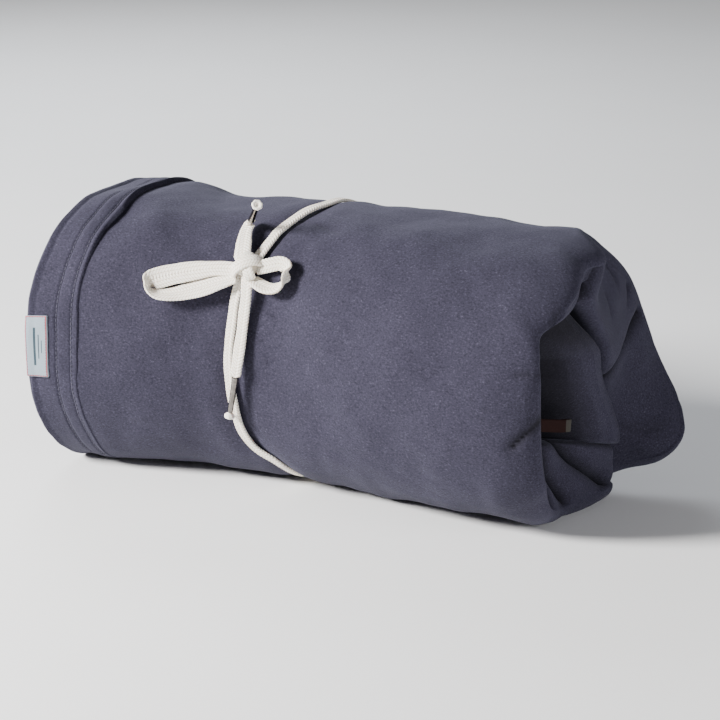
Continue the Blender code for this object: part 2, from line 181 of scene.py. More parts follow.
def smoothstep(value, low, high):
    t = np.clip((np.asarray(value, float) - low) / (high - low), 0, 1)
    return t * t * (3 - 2 * t)


def waves(points, seed, size, shortest, longest, count=18):
    """Soft, seeded undulation of about that size: plane waves in many directions."""
    random = np.random.default_rng(seed)
    total = np.zeros(points.shape[:-1])
    for _ in range(count):
        way = random.normal(size=3)
        way *= 2 * math.pi / (np.linalg.norm(way) * random.uniform(shortest, longest))
        total += np.sin(points @ way + random.uniform(0, 2 * math.pi))
    return size * total / math.sqrt(count / 2)


def line_steps(points, line):
    """For each straight piece of a line: its number, each point's share along it and distance to it."""
    for i, (start, end) in enumerate(zip(line[:-1], line[1:])):
        way = end - start
        share = np.clip(((points - start) @ way) / (way @ way), 0, 1)
        yield i, share, np.linalg.norm(points - start - share[..., None] * way, axis=-1)


def valley(distance, width):
    """1 at a crease's bottom, and 0 from width on: the meeting of two rounded folds."""
    near = 1 - np.clip(distance / width, 0, 1)
    return 1 - np.sqrt(1 - near**2)


def crease_depth(points, line, depths, width):
    """How deep a crease of varying depth goes at each point."""
    best, depth = np.full(len(points), np.inf), np.zeros(len(points))
    for i, share, away in line_steps(points, line):
        nearer = away < best
        best = np.where(nearer, away, best)
        depth = np.where(nearer, depths[i] + (depths[i + 1] - depths[i]) * share, depth)
    return depth * valley(best, width)


def faded(line, depth, first, last):
    """A crease's depth at each point of its line, easing to these shares of it at the two ends."""
    place = np.linspace(0, 1, len(line))
    start = first + (1 - first) * smoothstep(place, 0, 0.3)
    return depth * start * (last + (1 - last) * smoothstep(1 - place, 0, 0.3))


def add_mesh(name, points, faces, look, body="roll"):
    points = np.array(points, float)
    points[:, 2] = np.maximum(points[:, 2], FLOOR_GAP)
    mesh = bpy.data.meshes.new(name)
    mesh.from_pydata(points.tolist(), [], faces)
    mesh.materials.append(look)
    mesh.validate()
    mesh.shade_smooth()
    made = bpy.data.objects.new(name, mesh)
    bpy.context.collection.objects.link(made)
    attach(made, body)
    return made


def grid_faces(rows, around, joined, first=0):
    """Quads between closed rows of points, and the two ends' caps unless the rows are joined as a ring."""
    j = np.arange(around)
    k = (j + 1) % around
    quads = []
    for i in range(rows if joined else rows - 1):
        low, high = i * around, (i + 1) % rows * around
        quads.append(np.stack([low + j, low + k, high + k, high + j], axis=1) + first)
    faces = [tuple(q) for q in np.concatenate(quads).tolist()]
    if not joined:
        faces.append(tuple((first + j[::-1]).tolist()))
        faces.append(tuple((first + (rows - 1) * around + j).tolist()))
    return faces


def loft(name, rows, look, joined=False, body="roll", flip=False):
    """A closed piece through closed rows of points."""
    rows = np.asarray(rows, float)
    faces = grid_faces(len(rows), rows.shape[1], joined)
    if flip:
        faces = [face[::-1] for face in faces]
    return add_mesh(name, rows.reshape(-1, 3), faces, look, body)


def map_points(made, name, marks):
    """Gives a piece a map with these two values at each of its points."""
    layer = made.data.uv_layers.new(name=name)
    corners = np.empty(len(made.data.loops), np.int32)
    made.data.loops.foreach_get("vertex_index", corners)
    layer.data.foreach_set("uv", np.asarray(marks, np.float32)[corners].ravel())


def spaced(points, step):
    """Points about a step apart along the smooth open curve through these points."""
    points = np.asarray(points, float)
    last = len(points) - 1
    fine = []
    for i in range(last):
        corners = [points[min(max(i + k, 0), last)] for k in (-1, 0, 1, 2)]
        fine += [smooth_between(*corners, t) for t in np.linspace(0, 1, 24, endpoint=False)]
    fine = np.array([*fine, points[-1]])
    along = distances(fine)
    wanted = np.linspace(0, along[-1], max(3, round(along[-1] / step) + 1))
    return np.stack([np.interp(wanted, along, fine[:, c]) for c in range(fine.shape[1])], axis=1)


# ---------------------------------------------------------------- materials

WHITE = (1.0, 1.0, 1.0)
YARN_STEP = 0.0026  # from one yarn of the braid to the next, along the cord
YARN_SLANT = 0.0034  # how far from the cord's middle a yarn gets as it passes one step
RIB_STEP = 0.003
LABEL_SIZE = (0.019, 0.053)
TAB_END_X = 0.1962  # past this the care tab shows its pale edge


class Look:
    """A material in the making. Most methods add a node and return its result."""

    def __init__(self, name):
        self.material = bpy.data.materials.new(name)
        self.material.use_nodes = True
        tree = self.material.node_tree
        self.nodes, self.links, self.shader = tree.nodes, tree.links, tree.nodes["Principled BSDF"]
        self.place = self.node("ShaderNodeTexCoord", "Object")

    def feed(self, socket, value):
        if hasattr(value, "links"):
            self.links.new(value, socket)
        else:
            socket.default_value = value

    def node(self, kind, output, inputs=(), **settings):
        made = self.nodes.new(kind)
        for name, value in settings.items():
            setattr(made, name, value)
        for socket, value in dict(inputs).items():
            self.feed(made.inputs[socket], value)
        return made.outputs[output]

    def noise(self, scale, detail=2.0, roughness=0.5, where=None):
        where = self.place if where is None else where
        inputs = {"Vector": where, "Scale": scale, "Detail": detail, "Roughness": roughness}
        return self.node("ShaderNodeTexNoise", "Fac", inputs)

    def calc(self, operation, *values):
        return self.node("ShaderNodeMath", 0, enumerate(values), operation=operation)

    def ramp(self, value, *stops):
        made = self.nodes.new("ShaderNodeValToRGB")
        elements = made.color_ramp.elements
        while len(elements) < len(stops):
            elements.new(0.5)
        for element, (place, colour) in zip(elements, stops):
            element.position = place
            element.color = (*colour, 1.0)
        self.links.new(value, made.inputs["Fac"])
        return made.outputs["Color"]

    def mix(self, share, a, b, kind="MIX"):
        return self.node("ShaderNodeMix", 2, {0: share, 6: a, 7: b}, data_type="RGBA", blend_type=kind)

    def uv(self, name):
        return self.node("ShaderNodeUVMap", "UV", uv_map=name)

    def axes(self, vector):
        split = self.nodes.new("ShaderNodeSeparateXYZ")
        self.links.new(vector, split.inputs["Vector"])
        return split.outputs["X"], split.outputs["Y"]

    def finished(self, colour, rough, height, distance, strength, other=()):
        """The material: rough is a noise, how much it adds and the least; height makes a bump."""
        bump = {"Strength": strength, "Distance": distance, "Height": height}
        inputs = {
            "Base Color": colour,
            "Roughness": self.calc("MULTIPLY_ADD", *rough),
            "Normal": self.node("ShaderNodeBump", "Normal", bump),
            **dict(other),
        }
        for name, value in inputs.items():
            self.feed(self.shader.inputs[name], value)
        return self.material


def fleece_material(name, hollows=False):
    """Heathered navy sweatshirt fleece, faintly fuzzy, and darker with painted shade where its map says so: in
    creases and hollows.
    """
    look = Look(name)
    # The flecks are longer along the roll than across it.
    knit = look.node("ShaderNodeMapping", "Vector", {"Vector": look.place, "Scale": (1.0, 1.45, 1.45)})
    flecks = look.noise(520.0, 3.0, 0.6, knit)
    specks = look.noise(1350.0, 2.0, 0.6, knit)
    patches = look.noise(26.0, 3.0, 0.55)
    dark, mid, pale = np.array([(0.0118, 0.0106, 0.0205), (0.0265, 0.024, 0.041), (0.062, 0.057, 0.086)])
    colour = look.ramp(flecks, (0.3, dark), (0.47, mid * 0.92), (0.6, mid * 1.12), (0.74, pale))
    fine = look.ramp(specks, (0.32, (0.7, 0.7, 0.72)), (0.52, WHITE), (0.72, (1.42, 1.4, 1.4)))
    colour = look.mix(0.75, colour, fine, "MULTIPLY")
    broad = look.ramp(patches, (0.3, (0.93, 0.93, 0.94)), (0.7, (1.06, 1.06, 1.05)))
    colour = look.mix(1.0, colour, broad, "MULTIPLY")
    # Painted shade: the map's X darkens the colour, down to near black, in creases, round the folded end's
    # mouth and on hidden walls.
    if hollows:
        shade_share, _ = look.axes(look.uv("hollows"))
        shade = look.ramp(shade_share, (0.0, WHITE), (0.5, (0.36, 0.35, 0.34)), (1.0, (0.05, 0.05, 0.045)))
        colour = look.mix(1.0, colour, shade, "MULTIPLY")
    height = look.calc("ADD", flecks, look.calc("MULTIPLY", specks, 0.7))
    sheen = {"Sheen Weight": 0.07, "Sheen Roughness": 0.55, "Sheen Tint": (0.72, 0.74, 1.0, 1.0)}
    return look.finished(
        colour, (specks, 0.16, 0.8), height, 0.0006, 0.65, {"Specular IOR Level": 0.2, **sheen}
    )


def cotton_material(name, braided=False):
    """Undyed cotton yarn, a warm off-white with odd darker flecks, and with painted shade between a braid's
    yarns.
    """
    look = Look(name)
    fibres = look.noise(1500.0, 3.0, 0.6)
    flecks = look.noise(420.0)
    base = np.array((0.93, 0.885, 0.8))
    colour = look.ramp(fibres, (0.3, base * 0.86), (0.55, base), (0.75, base * 1.06))
    spots = look.ramp(flecks, (0.27, (0.8, 0.72, 0.6)), (0.36, WHITE))
    colour = look.mix(0.6, colour, spots, "MULTIPLY")
    if braided:
        # The map's X is metres from the ribbon's middle, and its Y is metres along it.
        x, along = look.axes(look.uv("braid"))
        across = look.calc("ABSOLUTE", x)
        slant = look.calc("MULTIPLY", across, math.pi / YARN_SLANT)
        phase = look.calc("MULTIPLY_ADD", along, math.pi / YARN_STEP, slant)
        yarn = look.calc("ABSOLUTE", look.calc("SINE", phase))
        # Painted shade, a tan, in the grooves between the slanting yarns.
        yarn_gap_shade = look.ramp(yarn, (0.0, (0.42, 0.33, 0.24)), (0.5, WHITE))
        colour = look.mix(0.8, colour, yarn_gap_shade, "MULTIPLY")
        # Painted shade in the lines between the ribs too.
        ribs = look.calc("ABSOLUTE", look.calc("SINE", look.calc("MULTIPLY", across, math.pi / RIB_STEP)))
        lines = look.ramp(ribs, (0.0, (0.46, 0.37, 0.27)), (0.38, WHITE))
        colour = look.mix(0.7, colour, lines, "MULTIPLY")
    other = {
        "Specular IOR Level": 0.3,
        "Sheen Weight": 0.25,
        "Subsurface Weight": 0.1,
        "Subsurface Radius": (1.0, 0.7, 0.45),
        "Subsurface Scale": 0.0012,
    }
    return look.finished(colour, (fibres, 0.15, 0.8), fibres, 0.0003, 0.6, other)


def metal_material(name):
    """Polished nickel, with fine drawn lines and a little handling haze."""
    look = Look(name)
    haze = look.noise(240.0, 3.0, 0.6)
    colour = look.ramp(haze, (0.35, (0.17, 0.155, 0.14)), (0.65, (0.26, 0.24, 0.22)))
    return look.finished(colour, (haze, 0.12, 0.08), look.noise(2600.0), 0.00006, 0.35, {"Metallic": 1.0})


def thread_material(name):
    look = Look(name)
    ply = look.noise(2200.0)
    colour = look.ramp(ply, (0.35, (0.034, 0.032, 0.054)), (0.65, (0.08, 0.076, 0.115)))
    return look.finished(colour, (ply, 0.2, 0.5), ply, 0.0002, 0.6)


def label_material(name):
    """Pale blue woven satin with a fine red line inside its edge and a plain mark of three dark bars."""
    look = Look(name)
    across, along = look.axes(look.uv("cloth"))

    def band(value, low, high):
        above, below = look.calc("GREATER_THAN", value, low), look.calc("LESS_THAN", value, high)
        return look.calc("MULTIPLY", above, below)

    def to_edge(value, size):
        return look.calc("MINIMUM", value, look.calc("SUBTRACT", size, value))

    yarn = look.noise(1900.0, 2.0, 0.6)
    ground = look.ramp(yarn, (0.3, (0.21, 0.265, 0.315)), (0.7, (0.29, 0.35, 0.4)))
    edge = look.calc("MINIMUM", to_edge(across, LABEL_SIZE[0]), to_edge(along, LABEL_SIZE[1]))
    colour = look.mix(band(edge, 0.0005, 0.0012), ground, (0.42, 0.055, 0.07, 1.0))
    bars = []
    for low, high, start, end in (
        (0.0072, 0.0092, 0.01, 0.043),
        (0.0112, 0.0121, 0.016, 0.037),
        (0.0138, 0.0145, 0.021, 0.032),
    ):
        bars.append(look.calc("MULTIPLY", band(across, low, high), band(along, start, end)))
    mark = look.calc("MAXIMUM", look.calc("MAXIMUM", bars[0], bars[1]), bars[2])
    colour = look.mix(mark, colour, (0.012, 0.035, 0.05, 1.0))
    weft = look.node("ShaderNodeTexWave", "Fac", {"Vector": look.uv("cloth"), "Scale": 900.0})
    return look.finished(colour, (yarn, 0.2, 0.42), weft, 0.00012, 0.6)


def tab_material(name):
    look = Look(name)
    yarn = look.noise(1700.0, 2.0, 0.6)
    colour = look.ramp(yarn, (0.3, (0.012, 0.0045, 0.004)), (0.7, (0.02, 0.0085, 0.0075)))
    x, _ = look.axes(look.place)
    colour = look.mix(look.calc("GREATER_THAN", x, TAB_END_X), colour, (0.045, 0.042, 0.037, 1.0))
    return look.finished(colour, (yarn, 0.2, 0.75), yarn, 0.0002, 0.5, {"Specular IOR Level": 0.1})


# ---------------------------------------------------------------- cord routes: the CAD's, redrawn a little

# X, angle and height over the cloth.
WRAP = [
    (-0.0562, 47.5, 0.005), (-0.0545, 43.5, 0.0034), (-0.0508, 36.0, 0.0028), (-0.048, 29.5, 0.0028),
    (-0.0405, 14.0, 0.0028), (-0.0345, 2.0, 0.0028), (-0.0315, -15.0, 0.0028), (-0.031, -40.0, 0.0028),
    (-0.034, -65.0, 0.0028), (-0.036, -90.0, 0.0028), (-0.035, -107.0, 0.003),
    (-0.034, -118.0, 0.0054), (-0.033, -124.0, 0.0054), (-0.032, -136.0, 0.003),
    (-0.031, -146.0, 0.003), (-0.03, -155.0, 0.003), (-0.028, -180.0, 0.0028),
    (-0.0325, -205.0, -0.0008), (-0.034, -213.0, 0.0004), (-0.0365, -221.5, 0.0024),
    (-0.0425, -226.5, 0.0028), (-0.053, -231.5, 0.0028), (-0.0595, -237.5, 0.0028),
    (-0.0635, -245.0, 0.0028), (-0.0665, -258.5, 0.0028), (-0.068, -270.5, 0.0028),
    (-0.0675, -279.0, 0.0028), (-0.0662, -289.0, 0.0028), (-0.066, -296.5, 0.003),
    (-0.065, -301.5, 0.0036), (-0.0632, -305.5, 0.0055), (-0.0605, -308.0, 0.007),
]
LOOP_LEFT = [
    (-0.064, 52.5, 0.0085), (-0.08, 52.3, 0.0085), (-0.096, 53.0, 0.0078), (-0.113, 54.2, 0.0068),
    (-0.1255, 55.8, 0.0064), (-0.1335, 58.0, 0.0075), (-0.133, 61.0, 0.0085), (-0.124, 62.6, 0.008),
    (-0.111, 62.2, 0.0075), (-0.096, 60.4, 0.0075), (-0.08, 58.0, 0.0082), (-0.064, 55.5, 0.0085),
]
LOOP_RIGHT = [
    (-0.05, 51.5, 0.0085), (-0.037, 49.5, 0.0085), (-0.029, 48.5, 0.008), (-0.0225, 50.0, 0.0075),
    (-0.0215, 54.5, 0.0072), (-0.027, 57.8, 0.0072), (-0.037, 58.4, 0.0078), (-0.05, 56.0, 0.0085),
]
TAIL_UPPER = [
    (-0.06, 53.0, 0.009), (-0.0635, 48.0, 0.01), (-0.0665, 43.0, 0.0095), (-0.069, 39.5, 0.0085),
    (-0.0712, 36.0, 0.0078), (-0.0722, 33.5, 0.0075), (-0.0725, 30.5, 0.0075),
]
TAIL_LOWER = [
    (-0.056, 51.0, 0.01), (-0.0535, 58.5, 0.0095), (-0.053, 63.0, 0.008), (-0.054, 69.0, 0.006),
    (-0.055, 76.0, 0.005), (-0.056, 83.0, 0.0062), (-0.0578, 92.5, 0.0085),
]
KNOT = (-0.057, 51.0, 0.0082)
AGLET_UPPER_DIRECTION = np.array((0.55, -0.62, 0.56))
TAIL_UPPER_RISE = 0.006
AGLET_LOWER_END = (-0.066, 110.0, 0.0088)
AGLET_LENGTH = 0.032
AGLET_RADII = (0.0027, 0.0021)
AGLET_CLEARANCE = 0.0012


def route(points):
    return np.array([roll(*point) for point in points])


WRAP_LINE = route([(x, angle, 0.0) for x, angle, _ in WRAP])


def nestle(points):
    """How the cloth gives way under the drawcord and puffs up beside it."""
    away = np.min([distance for _, _, distance in line_steps(points, WRAP_LINE)], axis=0)
    return -0.0019 * np.exp(-((away / 0.0065) ** 2)) + 0.0011 * np.exp(-(((away - 0.019) / 0.011) ** 2))


# Creases of the outer face: X and angle of each point, depth, width to each side, and the share of the depth
# that is left at each end.
FACE_CREASES = [
    ([(0.207, 90.5), (0.202, 94.5), (0.194, 99.0), (0.188, 103.0), (0.185, 107.0)],
     0.0065, 0.012, 1.0, 0.0),
    ([(0.208, 71.0), (0.197, 72.0), (0.186, 73.0)], 0.0026, 0.01, 1.0, 0.0),
    ([(0.206, 56.0), (0.2085, 50.0), (0.209, 43.0)], 0.0026, 0.01, 0.4, 0.4),
    ([(-0.04, 20.0), (-0.015, 24.0), (0.015, 30.0)], 0.0014, 0.012, 0.5, 0.0),
    ([(-0.076, 30.0), (-0.1, 24.0), (-0.125, 16.0)], 0.0012, 0.014, 0.5, 0.0),
    ([(-0.03, -172.0), (0.01, 166.0), (0.04, 150.0)], 0.0016, 0.012, 0.5, 0.0),
]

# Broad swells and hollows: X, angle, height, and how far each reaches along X and in degrees.
SWELLS = (
    (-0.208, -45.0, 0.006, 0.027, 20.0),
    (-0.183, 25.0, -0.0052, 0.017, 19.0),
    (0.16, -12.0, 0.0022, 0.034, 24.0),
)
CREASE_STEP = 0.003
AXIS_HEIGHT = 0.11
HEM_MARGIN = 0.014  # how far past the seam the cloth still lies lower


def crease_lines(creases, placed=lambda places: places):
    """Each crease's line, its depth at each point of the line, and its width to each side."""
    lines = []
    for places, depth, width, first, last in creases:
        line = spaced(placed(places), CREASE_STEP)
        lines.append((line, faded(line, depth, first, last), width))
    return lines


FACE_LINES = crease_lines(FACE_CREASES, lambda places: route([(x, angle, 0.0) for x, angle in places]))


def seam_share(angle):
    """How strongly the hem stands out round the roll: most at the top, hardly at the front and below."""
    return 0.16 + 0.84 * np.maximum(0.0, np.cos(np.radians(angle - 5.0))) ** 2


def relief(points, hem=False):
    """How far the cloth stands over its plain outline, at points of it. Beside the hem it dips a little."""
    height = waves(points, 11, 0.0009, 0.05, 0.15) + waves(points, 12, 0.00022, 0.014, 0.035)
    height += nestle(points)
    for x, angle, rise, reach, spread in SWELLS:
        middle = roll(x, angle)
        side = roll(x, angle + 1.0) - middle
        per_degree = np.linalg.norm(side)
        away = points - middle
        along = away[..., 0] / reach
        around = np.linalg.norm(away[..., 1:], axis=-1) / (per_degree * spread)
        height += rise * np.exp(-(along**2) - around**2)
    for line, depths, width in FACE_LINES:
        height -= crease_depth(points, line, depths, width)
    if not hem:
        angle = np.degrees(np.arctan2(-points[..., 1], points[..., 2] - AXIS_HEIGHT))
        beside_hem = 1 - smoothstep(points[..., 0], SEAM_X, SEAM_X + HEM_MARGIN)
        height += (0.0004 - 0.002 * seam_share(angle)) * beside_hem
    return height


# ---------------------------------------------------------------- the outer lap and its folded end

# Spokes of the folded end, from the roll's rim to the mouth where the inner column shows:
# angle at the rim, then Y, Z and X at the mouth.
SPOKES = [
    (-159.5, 0.0575, 0.048, 0.203), (-147, 0.057, 0.056, 0.196), (-133, 0.054, 0.066, 0.195),
    (-115, 0.049, 0.077, 0.195), (-98, 0.044, 0.087, 0.196), (-86, 0.0385, 0.0965, 0.199),
    (-73, 0.0335, 0.105, 0.204), (-58, 0.024, 0.1215, 0.208), (-40, 0.0175, 0.138, 0.21),
    (-24, 0.006, 0.151, 0.211), (-11, -0.004, 0.162, 0.211), (-2, -0.015, 0.175, 0.2105),
    (4, -0.022, 0.1815, 0.21), (14, -0.032, 0.1835, 0.2095), (26, -0.046, 0.18, 0.2135),
    (37, -0.061, 0.177, 0.213), (47, -0.0745, 0.1745, 0.209), (53, -0.0815, 0.169, 0.203),
    (58, -0.087, 0.164, 0.2), (63, -0.085, 0.156, 0.203), (75, -0.0815, 0.14, 0.206),
    (88, -0.0825, 0.118, 0.206), (96, -0.083, 0.102, 0.205), (103, -0.08, 0.092, 0.2),
    (118, -0.072, 0.087, 0.192), (136, -0.064, 0.084, 0.189), (151, -0.057, 0.081, 0.188),
    (159, -0.051, 0.0775, 0.188), (167, -0.044, 0.0745, 0.188), (178, -0.037, 0.0725, 0.189),
    (188, -0.033, 0.0715, 0.19), (196, -0.027, 0.07, 0.1915), (197.2, -0.008, 0.0655, 0.197),
    (198.4, 0.012, 0.0605, 0.201), (199.4, 0.035, 0.0545, 0.204),
]

# Creases of the folded end, in Y and Z, with the same four numbers.
END_CREASES = [
    ([(0.005, 0.213), (-0.008, 0.203), (-0.017, 0.1935)], 0.003, 0.015, 0.0, 1.0),
    ([(-0.012, 0.199), (-0.017, 0.1935), (-0.022, 0.188), (-0.028, 0.182)], 0.0115, 0.011, 0.0, 1.0),
    ([(0.127, 0.152), (0.1186, 0.14), (0.102, 0.1307), (0.083, 0.122), (0.0626, 0.1144), (0.046, 0.109),
      (0.032, 0.104)], 0.0118, 0.012, 0.6, 1.0),
    ([(-0.028, 0.073), (-0.0068, 0.05), (0.008, 0.038), (0.029, 0.0235), (0.048, 0.0083), (0.055, 0.001)],
     0.013, 0.013, 0.9, 0.5),
    ([(-0.047, 0.077), (-0.042, 0.05), (-0.0326, 0.036), (-0.019, 0.019), (-0.013, 0.006)],
     0.0125, 0.012, 1.0, 0.1),
    ([(-0.058, 0.083), (-0.0565, 0.0645), (-0.054, 0.0506), (-0.053, 0.036), (-0.0504, 0.024),
      (-0.046, 0.01)], 0.013, 0.012, 1.0, 0.1),
    ([(-0.076, 0.094), (-0.09, 0.101), (-0.105, 0.1)], 0.01, 0.012, 1.0, 0.9),
    ([(-0.07, 0.16), (-0.085, 0.1645), (-0.098, 0.168)], 0.007, 0.009, 0.8, 0.8),
    ([(0.057, 0.05), (0.06, 0.023), (0.055, 0.013), (0.052, 0.002)], 0.0125, 0.011, 0.8, 0.9),
    ([(0.089, 0.19), (0.104, 0.1745), (0.101, 0.1605), (0.094, 0.151)], 0.006, 0.0075, 0.5, 0.3),
    ([(0.066, 0.198), (0.079, 0.18), (0.078, 0.165)], 0.0032, 0.0075, 0.3, 0.2),
    ([(0.1265, 0.066), (0.119, 0.052)], 0.0012, 0.0035, 0.3, 0.3),
    ([(0.124, 0.058), (0.1215, 0.042)], 0.0012, 0.0035, 0.3, 0.3),
    ([(0.06, 0.06), (0.086, 0.052), (0.104, 0.054)], 0.0022, 0.018, 0.6, 0.1),
    ([(0.052, 0.176), (0.045, 0.15)], 0.0016, 0.013, 0.2, 0.2),
]
PER_SPOKE = 16
MOUTH_FOLD = 0.011  # radius of the fold at the mouth
FACE_ROWS = 150
END_ROWS = 62
HEM_OVERLAP = 0.006  # how far the outer lap reaches under the hem
# How deep a crease has to be to get fully dark painted shade, and how wide that painted shade is as a share of
# the crease's width.
FACE_SHADE_PAINT = (0.008, 0.8)
END_SHADE_PAINT = (0.0095, 0.95)


def spoke_values():
    """The spokes' angle, mouth point and X at each step round the roll."""
    spokes = np.array(SPOKES, float)
    count = len(spokes)
    values = []
    for i in range(count):
        corners = []
        for k in (-1, 0, 1, 2):
            spoke = spokes[(i + k) % count].copy()
            spoke[0] += 360 * ((i + k) // count)
            corners.append(spoke)
        for t in np.linspace(0, 1, PER_SPOKE, endpoint=False):
            straight = corners[1] + (corners[2] - corners[1]) * t
            values.append([straight[0], *smooth_between(*corners, t)[1:]])
    return np.array(values)


def crease_shade(points, lines, shade_paint):
    """How much painted shade the cloth gets along these creases, from 0 to 1."""
    full, narrowing = shade_paint
    found = [crease_depth(points, line, np.minimum(depths / full, 1.0), width * narrowing)
             for line, depths, width in lines]
    return np.max(found, axis=0)


# Each point's share of painted shade goes into a map of its own, as its X.
def map_painted_shade(made, hollows):
    map_points(made, "hollows", [(value, 0.0) for value in np.concatenate(hollows)])


def fold_back(distance, radius):
    """How far a rounded edge has turned away at this distance from it, and how near the edge that is."""
    near = 1 - np.clip(distance / radius, 0, 1)
    return 1 - np.sqrt(1 - near**2), near


def folded_end(look):
    """The outer lap: its outer face, its folded right end with all its creases, and its hidden inner wall."""
    values = spoke_values()
    angle, mouth_y, mouth_z, mouth_x = values.T
    around = len(values)
    rim_x, length, depth_in = (mouth(angle, column) for column in (1, 2, 3))
    flares = flare(angle)
    seam = SEAM_X - HEM_OVERLAP
    # Each row also gets its share of painted shade: in the creases, at the mouth and on the hidden wall.
    rows, hollows = [], []

    def outer(x, under):
        """The plain outline, led outwards towards the rim at the rear."""
        points = roll(x, angle, -under)
        points[:, 1] += flares * np.clip((x - MOUTH_START) / (rim_x - MOUTH_START), 0, 1) ** 2
        return points

    # The outer face, from the seam to where the fold begins.
    for share in np.linspace(0, 1, FACE_ROWS):
        x = seam + (rim_x - length - seam) * share
        points = outer(x, 0.0)
        rows.append(points + outward(x, angle) * relief(points)[:, None])
        hollows.append(crease_shade(points, FACE_LINES, FACE_SHADE_PAINT))
    # The fold round the rim.
    for turn in np.linspace(0, math.pi / 2, 17)[1:]:
        x = rim_x - length + length * math.sin(turn)
        points = outer(x, depth_in * (1 - math.cos(turn)))
        on_face = outer(x, 0.0)
        lift = relief(on_face) * math.cos(turn)
        rows.append(points + outward(x, angle) * lift[:, None])
        hollows.append(crease_shade(on_face, FACE_LINES, FACE_SHADE_PAINT))
    # The end, from the rim to the mouth.
    edge = rows[-1].copy()
    inner = np.stack([mouth_y, mouth_z], axis=1)
    creases = crease_lines(END_CREASES)
    # The painted shade at the mouth's edge is only on its lower part.
    low = 1 - smoothstep(inner[:, 1], 0.085, 0.105)  # only the mouth's lower part gets dark at its edge
    for share in np.linspace(0, 1, END_ROWS)[1:]:
        flat = edge[:, 1:] * (1 - share) + inner * share
        x = edge[:, 0] + (mouth_x - edge[:, 0]) * smoothstep(share, -0.15, 1.0)
        back, near = fold_back(np.linalg.norm(flat - inner, axis=1), MOUTH_FOLD)
        x -= MOUTH_FOLD * back
        for line, depths, width in creases:
            x -= crease_depth(flat, line, depths, width)
        points = np.column_stack([x, flat])
        points[:, 0] += waves(points, 21, 0.0009, 0.03, 0.08) * math.sin(math.pi * share)
        rows.append(points)
        # Painted shade round the mouth's edge, and in the end's creases.
        mouth_shade = low * np.clip(near * 1.3, 0, 1) ** 2 * 0.7
        hollows.append(np.maximum(mouth_shade, crease_shade(flat, creases, END_SHADE_PAINT)))
    # The wall behind the mouth, and the lap's inner face back to the seam.
    centre = inner.mean(axis=0)
    behind_mouth = np.minimum(rows[-1][:, 0], 0.205)
    for drop, widen in ((0.006, 1.01), (0.014, 1.03), (0.026, 1.05), (0.045, 1.06)):
        rows.append(np.column_stack([behind_mouth - drop, centre + (inner - centre) * widen]))
    rows.append(roll(0.12, angle, -0.05))
    # The wall behind the mouth gets full painted shade.
    hollows += [np.ones(around)] * 5
    for x in (0.06, 0.0, -0.06, -0.12, -0.18, seam):
        rows.append(roll(x, angle, -LAP))
    rows.append(roll(seam, angle, -LAP / 2))
    hollows += [np.zeros(around)] * (len(rows) - len(hollows))
    made = loft("throw_outer_lap", rows, look, joined=True)
    map_painted_shade(made, hollows)
    return made, inner


# ---------------------------------------------------------------- the inner column

# The column's rear edge, in Y and Z, and its face's X by the distance in front of that edge.
COLUMN_EDGE = np.array([
    (0.0575, 0.045), (0.054, 0.066), (0.044, 0.087), (0.0335, 0.105), (0.0235, 0.1215), (0.0175, 0.139),
    (0.006, 0.151), (-0.004, 0.161), (-0.016, 0.178), (-0.022, 0.186),
])
COLUMN_FALL = np.array([
    (-0.006, 0.185), (0.0, 0.194), (0.006, 0.205), (0.014, 0.211), (0.024, 0.211), (0.036, 0.206),
    (0.048, 0.196), (0.06, 0.181), (0.072, 0.162), (0.086, 0.14), (0.105, 0.124), (0.13, 0.12),
])
COLUMN_ROUND = (0.011, 0.008)  # where the column meets the mouth: how wide its rounded edge is, and how deep


def column(look, inner):
    """The inner fold that fills the mouth: a soft upright column, fullest near its rear edge."""
    centre = inner.mean(axis=0)
    edge = centre + (inner - centre) * 1.045
    rows, hollows = [], []
    # Its hidden base gets full painted shade.
    for x in (0.09, 0.105):
        rows.append(np.column_stack([np.full(len(edge), x), edge]))
        hollows.append(np.ones(len(edge)))
    for share in (0.0, 0.01, 0.02, 0.035, 0.055, 0.08, *np.linspace(0.11, 0.985, 50)):
        flat = edge + (centre - edge) * share
        # How far the point is in front of the column's rear edge, at its height.
        ahead = np.interp(flat[:, 1], COLUMN_EDGE[:, 1], COLUMN_EDGE[:, 0]) - flat[:, 0]
        x = np.interp(ahead, COLUMN_FALL[:, 0], COLUMN_FALL[:, 1])
        x -= 0.012 * smoothstep(flat[:, 1], 0.145, 0.185)  # its top leans in
        x -= COLUMN_ROUND[1] * fold_back(np.linalg.norm(flat - edge, axis=1), COLUMN_ROUND[0])[0]
        points = np.column_stack([x, flat])
        points[:, 0] += waves(points, 31, 0.001, 0.03, 0.07)
        rows.append(points)
        # Painted shade: towards the front, where the outer lap shadows the column, along its rear edge, and
        # over its top.
        front_shade, rear_edge_shade = smoothstep(ahead, 0.028, 0.076), 0.9 * (1 - smoothstep(ahead, 0.0, 0.02))
        high = 0.75 * smoothstep(flat[:, 1], 0.125, 0.175)
        hollows.append(np.max([front_shade, rear_edge_shade, high], axis=0))
    made = loft("throw_inner_fold", rows, look)
    map_painted_shade(made, hollows)
    return made


# ---------------------------------------------------------------- hem band, inner laps

HEM_STITCH_X = {"edge": 0.0262, "seam": 0.0385}  # the two rows of thread, from the rim
HEM_ROUND = 0.0035
RIM_WAVER = (0.03, 0.09)  # the shortest and the longest waves of the rims
OPEN_END_X = (-0.1, -0.15, -0.19)  # where the second lap's hidden rows lie
HEM_TUCK = 0.0012  # how deep and how far in the hem's edge is tucked at the seam


